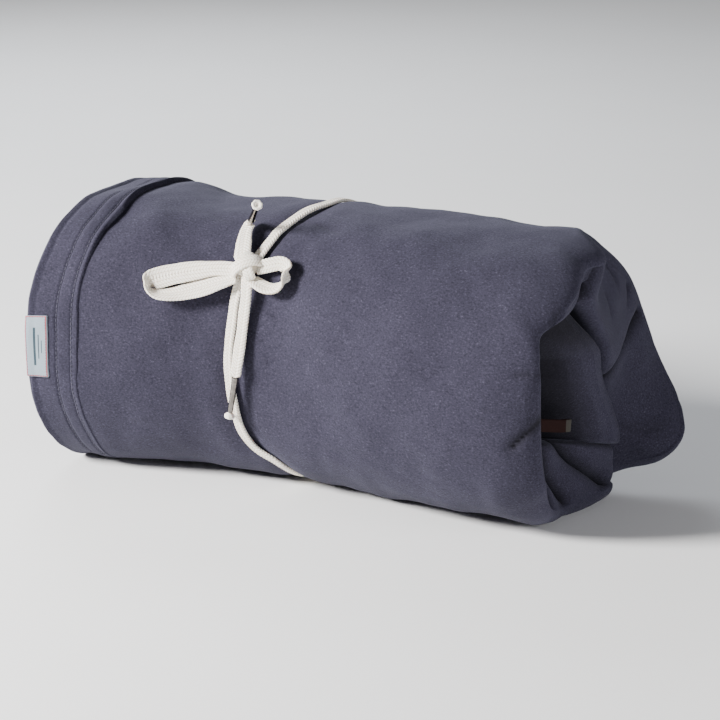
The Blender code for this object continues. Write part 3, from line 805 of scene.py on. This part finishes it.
def hem_height(x, angle):
    """The hem band's relief: a soft double rim, two stitched grooves, and a proud edge at the seam."""
    top = seam_share(angle)
    from_rim = x - LEFT_END

    def ridge(at, width):
        return np.exp(-(((from_rim - at) / width) ** 2))

    height = 0.0009 * ridge(0.0035, 0.003) - 0.001 * ridge(0.0085, 0.0018) * top
    height -= 0.0009 * ridge(HEM_STITCH_X["edge"], 0.0014)
    height += 0.0012 * smoothstep(from_rim, HEM_STITCH_X["edge"], 0.032) * top
    height += 0.0016 * ridge(0.0424, 0.0017) * top
    return height - 0.0007 * ridge(HEM_STITCH_X["seam"], 0.0013)


def hem_band(look):
    """The double-turned hem at the open left end."""
    angle = np.linspace(-180, 180, 500, endpoint=False)
    rows = [roll(SEAM_X, angle) - outward(SEAM_X, angle) * HEM_TUCK]
    for x in np.linspace(SEAM_X - HEM_TUCK, LEFT_END + HEM_ROUND, 74):
        points = roll(x, angle)
        height = relief(points, hem=True) + hem_height(x, angle) + 0.0003
        rows.append(points + outward(x, angle) * height[:, None])
    for turn in np.radians((20, 42, 66, 90)):
        x = LEFT_END + HEM_ROUND * (1 - math.sin(turn))
        under = HEM_ROUND * (1 - math.cos(turn))
        height = relief(roll(x, angle), hem=True) * math.cos(turn)
        rows.append(roll(x, angle, -under) + outward(x, angle) * height[:, None])
    # Three plies of cloth show at the rim, with a crease between each two.
    for depth in np.linspace(HEM_ROUND, LAP - HEM_ROUND, 30)[1:]:
        ply = abs(math.sin(math.pi * (depth - 0.001) / ((LAP - 0.002) / 3)))
        points = roll(LEFT_END + 0.0042 * (1 - ply**0.45), angle, -depth)
        points[:, 0] += waves(points, 41, 0.0006, *RIM_WAVER)
        rows.append(points)
    for turn in np.radians((25, 50, 75, 90)):
        x = LEFT_END + 0.004 + HEM_ROUND * (1 - math.cos(turn))
        rows.append(roll(x, angle, -(LAP - HEM_ROUND * (1 - math.sin(turn)))))
    for x in np.linspace(LEFT_END + 0.012, SEAM_X, 8):
        rows.append(roll(x, angle, -LAP))
    return loft("throw_hem_band", rows, look, joined=True)


def second_lap(look):
    """The next lap in, which shows at the open left end, with the rounded edges of its two plies."""
    start, depth, thickness, plies = LEFT_END + 0.008, 0.0265, 0.0195, 2
    angle = np.linspace(-180, 180, 360, endpoint=False)
    stations = (*OPEN_END_X, start + 0.01, start + 0.005)
    rows = [roll(x, angle, -depth) for x in stations]
    for under in np.linspace(depth + 0.0005, depth + thickness - 0.0005, 12 * plies + 1):
        ply = abs(math.sin(math.pi * plies * (under - depth) / thickness))
        points = roll(start + 0.005 * (1 - ply**0.5), angle, -under)
        points[:, 0] += waves(points, 51, 0.0009, *RIM_WAVER)
        rows.append(points)
    rows += [roll(x, angle, -(depth + thickness)) for x in stations[::-1]]
    return loft("throw_second_lap", rows, look, joined=True)


def core(look):
    """The rolled-up heart: one thick strip wound into a spiral, seen end on."""
    depth, turns, strip, gap, steps = 0.049, 2.6, 0.0125, 0.001, 420
    deepest, hidden_x = 0.1035, (-0.205, -0.15)
    radius = strip / 2
    rows = []
    for share in np.arange(steps + 1) / steps:
        angle = -150 + 360 * turns * share
        under = depth + (strip + gap) * turns * share + 0.0002
        start = LEFT_END + 0.012 + 0.004 * math.sin(math.radians(angle * 0.7)) + 0.004 * share
        thin = 1.0 if 0.015 < share < 0.985 else 0.55
        row = []
        for turn in np.linspace(0, math.pi, 13):
            row.append((start + radius * (1 - math.sin(turn)), under + radius * (1 - thin * math.cos(turn))))
        row += [(x, under + radius * (1 + thin)) for x in hidden_x]
        row += [(x, under + radius * (1 - thin)) for x in hidden_x[::-1]]
        rows.append([roll(x, angle, -min(u, deepest)) for x, u in row])
    return loft("throw_core_roll", rows, look, flip=True)


def closing_hem(look):
    """The cloth's stitched outer end, closing the roll low on its rear."""
    left, right = -0.188, 0.178
    ring = ring_of(40)
    angles = -121.0 + 4.6 * np.cos(ring)
    rows = []
    for x in np.linspace(left, right, 180):
        end = min(1.0, (right - x) / 0.01, (x - left) / 0.004 + 0.4)
        lift = 0.0011 + 0.0013 * np.sin(ring) * max(end, 0.05)
        lift += 0.00035 * np.cos(ring * 4) * (np.sin(ring) > 0)
        base = roll(x, angles)
        rows.append(base + outward(x, angles) * (lift + relief(base))[:, None])
    return loft("throw_closing_hem", rows, look, flip=True)


# ---------------------------------------------------------------- stitching


def stitches(name, line, normals, look, length=0.003, gap=0.0009, radius=0.00032, lift=0.0002):
    """A row of short thread stitches along a line of points, in one piece."""
    count = 6  # rows of points along a stitch, and points round it
    along = distances(line)
    shares = np.linspace(0, 1, count)
    points, faces = [], []
    start = 0.0
    while start + length < along[-1]:
        first = len(points)
        places = start + length * shares
        centres = np.stack([np.interp(places, along, line[:, c]) for c in range(3)], axis=1)
        ups = np.stack([np.interp(places, along, normals[:, c]) for c in range(3)], axis=1)
        way = unit(centres[-1] - centres[0])
        for share, centre, up in zip(shares, centres, ups):
            side = np.cross(way, up)
            bow = math.sin(math.pi * share)
            thick = radius * (0.55 + 0.45 * bow)
            middle = centre + up * (lift + 0.00035 * bow - 0.0003)
            for turn in ring_of(count):
                points.append(middle + thick * (math.cos(turn) * side * 1.25 + math.sin(turn) * up))
        faces += grid_faces(count, count, False, first)
        start += length + gap
    return add_mesh(name, points, faces, look)


def hem_stitching(look):
    angle = np.linspace(-175, 175, 700)
    for name, from_rim in HEM_STITCH_X.items():
        x = LEFT_END + from_rim
        base, up = roll(x, angle), outward(x, angle)
        height = relief(base, hem=True) + hem_height(x, angle) + 0.0006
        made = stitches(f"hem_thread_{name}", base + up * height[:, None], up, look)
        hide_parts(f"hem_stitching_{name}")


# ---------------------------------------------------------------- label and tab

LABEL_X = (-0.2345, -0.2155)
LABEL_ANGLES = (75.0, 101.0)
LABEL_THICKNESS = 0.0009
LABEL_LIFT = 0.0008


def under_label(x, angles):
    """The cloth under the label: points of the outline, the ways outwards, and how high the hem stands."""
    base = roll(x, angles)
    return base, outward(x, angles), relief(base, hem=True) + hem_height(x, angles) * 0.5


def woven_label(look):
    """A folded satin patch sewn over the hem."""
    xs = np.linspace(*LABEL_X, 24)
    angles = np.linspace(*LABEL_ANGLES, 60)
    rows, marks = [], []
    for row, x in enumerate(xs):
        base, up, height = under_label(x, angles)
        edge = min(x - LABEL_X[0], LABEL_X[1] - x)
        round_off = 0.0004 * (1 - min(edge / 0.0008, 1.0)) ** 2
        pucker = 0.00018 * np.sin(angles * 3.1) * (1 - min(edge / 0.004, 1.0))
        top = base + up * (height + LABEL_LIFT + LABEL_THICKNESS - round_off + pucker)[:, None]
        bottom = base + up * (height - 0.0004)[:, None]
        rows.append(np.concatenate([top, bottom[::-1]]))
        places = np.arange(len(angles)) * LABEL_SIZE[1] / (len(angles) - 1)
        across = LABEL_SIZE[0] * row / (len(xs) - 1)
        marks += [(across, along) for along in (*places, *places[::-1])]
    made = loft("woven_label_patch", rows, look, flip=True)
    map_points(made, "cloth", marks)
    return made


def label_stitching(look):
    """A rectangle of small stitches just inside the label's edge."""
    inset, turn = 0.00132, 0.5
    x0, x1 = LABEL_X[0] + inset, LABEL_X[1] - inset
    a0, a1 = LABEL_ANGLES[0] + turn, LABEL_ANGLES[1] - turn
    corners = np.array([(x0, a0), (x0, a1), (x1, a1), (x1, a0), (x0, a0)])
    path = []
    for start, end in zip(corners, corners[1:]):
        path += [start + (end - start) * share for share in np.linspace(0, 1, 60, endpoint=False)]
    base, up, height = under_label(*np.transpose(path))
    height = height + LABEL_LIFT + LABEL_THICKNESS
    return stitches("label_thread", base + up * height[:, None], up, look,
                    length=0.0016, gap=0.0007, radius=0.0002, lift=0.0001)


def care_tab(look):
    """A folded ribbon tab that peeps out beside the inner column."""
    width, thickness = 0.01, 0.0007
    path = [
        (0.16, -0.071, 0.0935), (0.1765, -0.048, 0.088), (0.1895, -0.027, 0.0832),
        (0.194, -0.0195, 0.0822), (0.1962, -0.0172, 0.082), (0.1978, -0.0182, 0.0822),
        (0.1968, -0.0215, 0.0826), (0.1925, -0.028, 0.0834), (0.1803, -0.048, 0.088), (0.165, -0.071, 0.0935),
    ]
    centre = spaced(path, 0.0012)
    up = unit(np.array((0.03, 0.1, 1.0)))
    sides = unit(np.cross(unit(np.gradient(centre, axis=0)), up))
    ring = ring_of(20)
    high = filled_out(np.cos(ring), 0.35) * width / 2
    thick = filled_out(np.sin(ring), 0.6) * thickness / 2
    rows = [c + np.outer(high, up) + np.outer(thick, side) for c, side in zip(centre, sides)]
    return loft("care_tab", rows, look)


# ---------------------------------------------------------------- cords

CORD_STEP = 0.001
CORD_THICKNESS = 0.003
AGLET_GRIP = 0.007  # how much of a tail is inside its aglet
# Widths of the ribbons: at even steps along a loop, at distances from a tail's hidden end and from its start.
LOOP_LEFT_WIDTHS = (0.01, 0.0172, 0.016, 0.012, 0.016, 0.0178, 0.01)
LOOP_RIGHT_WIDTHS = (0.01, 0.0124, 0.0118, 0.0128, 0.01)
TAIL_UPPER_WIDTHS = ((0.0072, 0.0088, 0.021), (0.0024, 0.0072, 0.014))
TAIL_LOWER_WIDTHS = ((0.0072, 0.0084, 0.011), (0.0024, 0.0084, 0.0096))
TAIL_START_WIDTHS = ((0.0, 0.006, 0.014), (0.005, 0.008, 0.015))


def flat_ring(count):
    """A flat cord's section: how far across and how far up its points lie, as shares of the half sizes."""
    ring = ring_of(count)
    return filled_out(np.cos(ring), 0.62), filled_out(np.sin(ring), 0.78)


def yarns(place, from_middle, shift=0.0):
    """How far the slanting yarns stand out, at a place along the cord and a distance from its middle."""
    phase = place / YARN_STEP + from_middle / YARN_SLANT + shift
    return np.abs(np.sin(math.pi * phase)) ** 0.7


def ribbon(name, line, ups, look, body, widths, thickness):
    """A flat braided cord along a line: its width lies across ups, and its braid stands out in chevrons."""
    ways = unit(np.gradient(line, axis=0))
    sides = unit(np.cross(ways, ups))
    ups = np.cross(sides, ways)
    along = distances(line)
    across, lift = flat_ring(36)
    rows, marks = [], []
    for i, (place, wide) in enumerate(zip(along, np.broadcast_to(widths, len(line)))):
        closing = min(1.0, 0.35 + min(place, along[-1] - place) / 0.0014)
        swell = 1 + 0.035 * math.sin(place * 210) + 0.025 * math.sin(place * 97 + 1.3)
        half, thick = wide / 2 * swell * closing, thickness / 2 * closing
        # The yarns of the two faces are half a step apart, and a groove runs down each face's middle.
        yarn = yarns(place, np.abs(across) * wide / 2, 0.5 * (lift > 0))
        groove = np.exp(-((across * wide / 2 / 0.0006) ** 2))
        proud = 0.00062 * yarn - 0.0005 * groove - 0.0004
        pillow = 1 - 0.16 * np.exp(-((across / 0.35) ** 2))
        a = across * (half + 0.5 * proud)
        b = lift * (thick * pillow + proud)
        rows.append(line[i] + np.outer(a, sides[i]) + np.outer(b, ups[i]))
        marks.append(np.column_stack([across * wide / 2, np.full(len(across), place)]))
    made = loft(name, rows, look, body=body)
    map_points(made, "braid", np.concatenate(marks))
    return made


def surface_ups(points):
    """Outward directions of the roll at a route's points."""
    return np.array([outward(x, angle) for x, angle, _ in points])


def swept(points, step=CORD_STEP, lower=0.0):
    """A route's line and its outward directions, a step apart."""
    shifted = [(x, angle, over - lower) for x, angle, over in points]
    both = spaced(np.concatenate([route(shifted), surface_ups(shifted)], axis=1), step)
    return both[:, :3], both[:, 3:]


def knot_axes():
    """At the knot: its middle, and the ways outwards, along the roll and down the cloth."""
    x, angle, over = KNOT
    out, along = outward(x, angle), np.array((1.0, 0.0, 0.0))
    down = np.cross(out, along)
    return roll(x, angle, over), out, along, down * np.sign(-down[2])


def bow_knot(look):
    """The bow's knot: a rounded heart with three bands of the cord drawn tight across it."""
    centre, out, along, down = knot_axes()
    points, faces, marks = [], [], []

    def add_shell(rows, places):
        faces.extend(grid_faces(len(rows), len(rows[0]), False, len(points)))
        points.extend(np.concatenate(rows))
        marks.append(places)

    # The heart, which shows one plain spot of the braid's map.
    ring = ring_of(32)
    rows = []
    for turn in np.linspace(0.06, math.pi - 0.06, 20):
        radius, place = math.sin(turn), math.cos(turn)
        middle = centre + down * 0.0095 * place
        rows.append(middle + np.outer(0.0082 * radius * np.cos(ring), along)
                    + np.outer(0.0052 * radius * np.sin(ring), out))
    add_shell(rows, np.full((len(rows) * len(ring), 2), (0.0014, 0.0013)))
    # Bands across it: turn in the cloth's plane, shift along it, half-length, height and width.
    bend = 1.25
    across, lift = flat_ring(28)
    for turn, shift_x, shift_down, half, height, wide in (
        (-34, -0.0005, 0.001, 0.0118, 0.0082, 0.01),
        (-72, -0.0035, -0.0022, 0.0088, 0.0054, 0.0084),
        (62, 0.0028, 0.0024, 0.0086, 0.0056, 0.0088),
    ):
        way = math.cos(math.radians(turn)) * along + math.sin(math.radians(turn)) * down
        side = np.cross(out, way)
        middle = centre + along * shift_x + down * shift_down
        sideways = across * wide / 2
        rows, places = [], []
        for t in np.linspace(-1.18, 1.18, 40):
            sin, cos, place = math.sin(t * bend), math.cos(t * bend), t * half * bend
            spot = middle + way * half * sin + out * (height * cos + 0.0006)
            up = np.cross(side, unit(way * cos * half - out * sin * height))
            up *= np.sign(up @ (spot - middle + out * 0.002))
            thick = lift * (0.0012 + 0.0006 * yarns(place, np.abs(sideways)))
            rows.append(spot + np.outer(sideways, side) + np.outer(thick, up))
            places.append(np.column_stack([sideways, np.full(len(sideways), place)]))
        add_shell(rows, np.concatenate(places))
    made = add_mesh("bow_knot_bands", points, faces, look)
    map_points(made, "braid", np.concatenate(marks))
    return made


def turned(name, profile, start, axis, look, body, sides=40, waver=0.0):
    """A turned piece from (distance along the axis, radius) points, as one closed ring of rows."""
    turn = np.array(Vector(axis).to_track_quat("Z", "Y").to_matrix())
    ring = ring_of(sides)
    rows = []
    for s, r in profile:
        wobble = 1 + waver * np.sin(7 * ring + s * 900) * (r > 0.0022)
        circle = np.column_stack([r * wobble * np.cos(ring), r * wobble * np.sin(ring), np.full(sides, s)])
        rows.append(start + circle @ turn.T)
    return loft(name, rows, look, joined=True, body=body)


def aglet(place, start, axis, metal, cotton, body):
    """A crimped metal sleeve over the tail's end, and the cord's flared end past it."""
    length, (wide, narrow) = AGLET_LENGTH, AGLET_RADII
    bore, hole = 0.0013, 0.0005
    sleeve = [(0.0, 0.0014), (-0.0002, wide - 0.0005), (0.0, wide - 0.0002), (0.0004, wide), (0.0022, wide)]
    for s in np.linspace(0.0026, length - 0.003, 40):
        crimp = 0.00018 * max(0.0, math.cos(2 * math.pi * (s - 0.006) / 0.005)) ** 6 * (s < 0.014)
        sleeve.append((s, wide + (narrow - wide) * s / length - crimp))
    ending = ((-0.001, narrow), (-0.0002, narrow - 0.0002), (0.0, narrow - 0.0005), (0.0, 0.0014))
    sleeve += [(length + past, radius) for past, radius in ending]
    flared = (
        (-0.006, hole), (-0.006, bore), (0.0002, bore), (0.0004, 0.0021), (0.0012, 0.0029), (0.0022, 0.0038),
        (0.003, 0.0043), (0.0038, 0.0043), (0.0044, 0.0038), (0.0045, 0.003), (0.004, 0.0021),
        (0.0034, 0.0014), (0.0028, hole),
    )
    tip = [(length + past, radius) for past, radius in flared]
    made = turned(f"aglet_sleeve_{place}", sleeve, start, axis, metal, body)
    end = turned(f"cord_flare_{place}", tip, start, axis, cotton, body, sides=48, waver=0.05)
    return made, end


def loop_ups(line, lean):
    """The ribbon's thickness direction: near flat on both strands, and on its edge at the turn."""
    _, out, _, down = knot_axes()
    place = np.linspace(0, 1, len(line))
    lean = np.radians(lean + (180 - 2 * lean) * smoothstep(place, 0.3, 0.7))[:, None]
    wide = out * np.sin(lean) - down * np.cos(lean)
    return unit(np.cross(wide, unit(np.gradient(line, axis=0))))


def wrap_and_knot(braid):
    line, ups = swept(WRAP, 0.0011, lower=0.0014)
    wrap = ribbon("drawcord_braid", line, ups, braid, "roll", widths=0.0084, thickness=0.0032)
    knot = bow_knot(braid)
    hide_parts("drawcord_wrap")
    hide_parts("bow_knot")


def bow_loops(braid):
    for side, points, wide, tilt in (
        ("left", LOOP_LEFT, LOOP_LEFT_WIDTHS, 10),
        ("right", LOOP_RIGHT, LOOP_RIGHT_WIDTHS, 20),
    ):
        line, _ = swept(points)
        widths = np.interp(np.linspace(0, 1, len(line)), np.linspace(0, 1, len(wide)), wide)
        ups = loop_ups(line, tilt)
        made = ribbon(f"bow_loop_braid_{side}", line, ups, braid, f"{side}_loop", widths, CORD_THICKNESS)
        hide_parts(f"bow_loop_{side}")


def tails(braid, cotton, metal):
    """The cord's two ends, each led from the knot into its aglet. The upper one rises off the cloth first."""
    down_axis = unit(roll(*AGLET_LOWER_END) - roll(*TAIL_LOWER[-1]))
    for place, knots, rise, axis, width, end_widths in (
        ("upper", TAIL_UPPER, TAIL_UPPER_RISE, unit(AGLET_UPPER_DIRECTION), 0.01, TAIL_UPPER_WIDTHS),
        ("lower", TAIL_LOWER, 0.0, down_axis, 0.0094, TAIL_LOWER_WIDTHS),
    ):
        points, ups = route(knots), surface_ups(knots)
        end = points[-1] + axis * rise
        inside = end + axis * (AGLET_CLEARANCE + AGLET_GRIP)
        past = [end, inside] if rise else [inside]
        points, ups = np.concatenate([points, past]), np.concatenate([ups, [ups[-1]] * len(past)])
        both = spaced(np.concatenate([points, ups], axis=1), CORD_STEP)
        line, ups = both[:, :3], both[:, 3:]
        from_end, from_start = (np.linalg.norm(line - line[i], axis=1) for i in (-1, 0))
        widths = np.minimum(np.interp(from_end, *end_widths), np.interp(from_start, *TAIL_START_WIDTHS))
        body = f"{place}_tail"
        made = ribbon(f"tail_braid_{place}", line, ups, braid, body, widths, CORD_THICKNESS)
        sleeve, flare_end = aglet(place, end + axis * AGLET_CLEARANCE, axis, metal, cotton, body)
        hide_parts(f"tail_{place}")
        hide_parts(f"aglet_{place}")
        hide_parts(f"cord_tip_{place}")


# ---------------------------------------------------------------- floor and light

LIT_POINT = Vector((0, 0, 0.1))


def stage_and_light():
    look = Look("studio_floor")
    tone = look.ramp(look.noise(3.0), (0.3, (0.93, 0.93, 0.93)), (0.7, (0.96, 0.96, 0.96)))
    look.feed(look.shader.inputs["Base Color"], tone)
    look.feed(look.shader.inputs["Roughness"], 0.9)
    mesh = bpy.data.meshes.new("studio_floor")
    half, level = 6.0, -0.0006
    mesh.from_pydata([(-half, -half, level), (half, -half, level), (half, half, level), (-half, half, level)],
                     [], [(0, 1, 2, 3)])
    mesh.materials.append(look.material)
    floor = bpy.data.objects.new("studio_floor", mesh)
    bpy.context.collection.objects.link(floor)
    world = bpy.data.worlds.new("studio")
    world.use_nodes = True
    ambient = world.node_tree.nodes["Background"].inputs
    ambient["Color"].default_value = (0.96, 0.97, 1.0, 1.0)
    ambient["Strength"].default_value = 0.11
    bpy.context.scene.world = world
    for name, place, size, power, colour in (
        ("key_light", (-1.3, -1.46, 1.08), 0.6, 166.0, (1.0, 0.985, 0.97)),
        ("rear_light", (-1.3, 1.2, 1.2), 1.2, 22.0, (0.88, 0.93, 1.0)),
        ("end_light", (1.7, -0.05, 0.4), 1.0, 17.0, (0.97, 0.97, 1.0)),
    ):
        data = bpy.data.lights.new(name, "AREA")
        data.shape = "DISK"
        data.size = size
        data.energy = power
        data.color = colour
        light = bpy.data.objects.new(name, data)
        light.location = place
        light.rotation_euler = (LIT_POINT - Vector(place)).to_track_quat("-Z", "Y").to_euler()
        bpy.context.collection.objects.link(light)


# ---------------------------------------------------------------- all of it


def main():
    make_camera()
    fleece = fleece_material("heather_fleece")
    # The folded end's pieces take a copy of the fleece with painted shade in their creases.
    fleece_with_painted_shade = fleece_material("heather_fleece_painted_shade", hollows=True)
    cotton = cotton_material("natural_cotton")
    braid = cotton_material("natural_cotton_braid", braided=True)
    metal = metal_material("polished_nickel")
    thread = thread_material("navy_thread")
    wrap_and_knot(braid)
    bow_loops(braid)
    tails(braid, cotton, metal)
    outer, inner = folded_end(fleece_with_painted_shade)
    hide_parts("outer_lap", "top_fold", "rear_fold")
    fold = column(fleece_with_painted_shade, inner)
    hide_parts("front_fold")
    hem = hem_band(fleece)
    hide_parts("hem_band")
    second = second_lap(fleece)
    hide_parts("second_lap")
    heart = core(fleece)
    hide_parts("core_roll")
    closing = closing_hem(fleece)
    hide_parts("closing_hem")
    hem_stitching(thread)
    label = woven_label(label_material("label_satin"))
    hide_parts("woven_label")
    thread_row = label_stitching(thread)
    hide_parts("label_stitching")
    tab = care_tab(tab_material("care_tab"))
    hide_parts("care_label")
    stage_and_light()


main()
